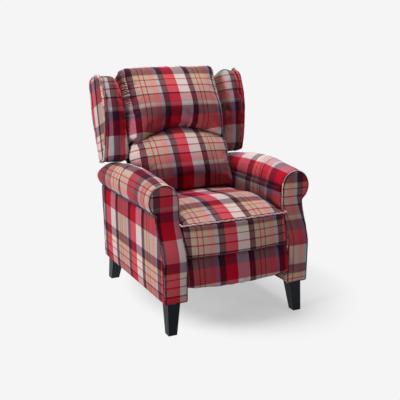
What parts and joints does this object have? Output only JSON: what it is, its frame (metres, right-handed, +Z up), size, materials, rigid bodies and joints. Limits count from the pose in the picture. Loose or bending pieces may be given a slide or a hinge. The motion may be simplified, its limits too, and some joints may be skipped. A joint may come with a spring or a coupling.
{
  "type": "wingback recliner",
  "caption": "Push-back wing chair in woven tartan: rolled arms, sliding sprung seat, hinged winged back with lumbar and head pillows, folding footrest, tapered black legs.",
  "frame": {"origin": "on the floor, under the middle of the chair's overall box", "axes": "+Z up, +X to the right of someone facing the chair, and the chair faces -Y"},
  "size_m": [0.7476, 0.8313, 1.0356],
  "materials": {
    "tartan": "matt woven tartan cloth over foam",
    "black_legs": "black satin lacquer on solid wood",
    "timber": "planed softwood, unfinished",
    "plywood": "plywood, unfinished",
    "black_steel": "black painted pressed steel",
    "zinc_steel": "zinc plated steel",
    "spring_steel": "drawn spring wire",
    "webbing": "woven elastic webbing"
  },
  "bodies": {
    "base": {"front_leg_left": "black_legs", "front_leg_right": "black_legs", "rear_leg_left": "black_legs", "rear_leg_right": "black_legs", "leg_bolts": "zinc_steel", "corner_blocks": "timber", "arm_board_left": "plywood", "arm_board_right": "plywood", "arm_roll_left": "tartan", "arm_roll_right": "tartan", "arm_inner_panel_left": "tartan", "arm_inner_panel_right": "tartan", "arm_outer_panel_left": "tartan", "arm_outer_panel_right": "tartan", "arm_facing_left": "tartan", "arm_facing_right": "tartan", "arm_rear_panel_left": "tartan", "arm_rear_panel_right": "tartan", "front_cross_rail": "timber", "rear_cross_rail": "timber", "rear_apron": "tartan", "slide_rail_left": "black_steel", "slide_rail_right": "black_steel", "hinge_brackets": "black_steel"},
    "seat": {"seat_front_rail": "timber", "seat_rear_rail": "timber", "seat_side_rail_left": "timber", "seat_side_rail_right": "timber", "seat_springs": "spring_steel", "seat_cushion": "tartan", "seat_front_border": "tartan", "seat_plate_left": "black_steel", "seat_plate_right": "black_steel", "slide_pins": "zinc_steel", "seat_rivets": "zinc_steel"},
    "back": {"back_post_left": "timber", "back_post_right": "timber", "back_top_rail": "timber", "back_bottom_rail": "timber", "back_webbing": "webbing", "back_outer_panel": "tartan", "head_pillow": "tartan", "lumbar_pillow": "tartan", "wing_panel_left": "tartan", "wing_panel_right": "tartan", "wing_pad_left": "tartan", "wing_pad_right": "tartan", "back_hinge_plates": "black_steel"},
    "drive_links": {"drive_link_left": "black_steel", "drive_link_right": "black_steel"},
    "idler_links": {"idler_link_left": "black_steel", "idler_link_right": "black_steel"},
    "carrier_links": {"carrier_link_left": "black_steel", "carrier_link_right": "black_steel", "carrier_rivets": "zinc_steel"},
    "footrest": {"footrest_board": "plywood", "footrest_pad": "tartan", "footrest_brackets": "black_steel", "footrest_rivets": "zinc_steel"}
  },
  "joints": [
    {"name": "back_recline", "type": "hinge", "parent": "base", "child": "back", "pos_m": [0, 0.1757, 0.36], "axis": [-1, 0, 0], "range_deg": [0, 30]},
    {"name": "seat_slide", "type": "slide", "parent": "base", "child": "seat", "axis": [0, -1, 0], "range_m": [0, 0.05]},
    {"name": "footrest_open", "type": "hinge", "parent": "seat", "child": "drive_links", "pos_m": [0, -0.286, 0.3], "axis": [-1, 0, 0], "range_deg": [0, 127]},
    {"name": "idler_swing", "type": "hinge", "parent": "seat", "child": "idler_links", "pos_m": [0, -0.22, 0.276], "axis": [-1, 0, 0], "range_deg": [0, 127]},
    {"name": "carrier_level", "type": "hinge", "parent": "drive_links", "child": "carrier_links", "pos_m": [0, -0.15518, 0.16919], "axis": [1, 0, 0], "range_deg": [0, 127]},
    {"name": "footrest_flip", "type": "hinge", "parent": "carrier_links", "child": "footrest", "pos_m": [0, -0.345, 0.285], "axis": [-1, 0, 0], "range_deg": [0, 80]}
  ],
  "couplings": [
    {"joint": "seat_slide", "follows": "back_recline", "m_per_rad": 0.095493},
    {"joint": "idler_swing", "follows": "footrest_open", "ratio": 1},
    {"joint": "carrier_level", "follows": "footrest_open", "ratio": 1},
    {"joint": "footrest_flip", "follows": "footrest_open", "ratio": 0.62992}
  ]
}
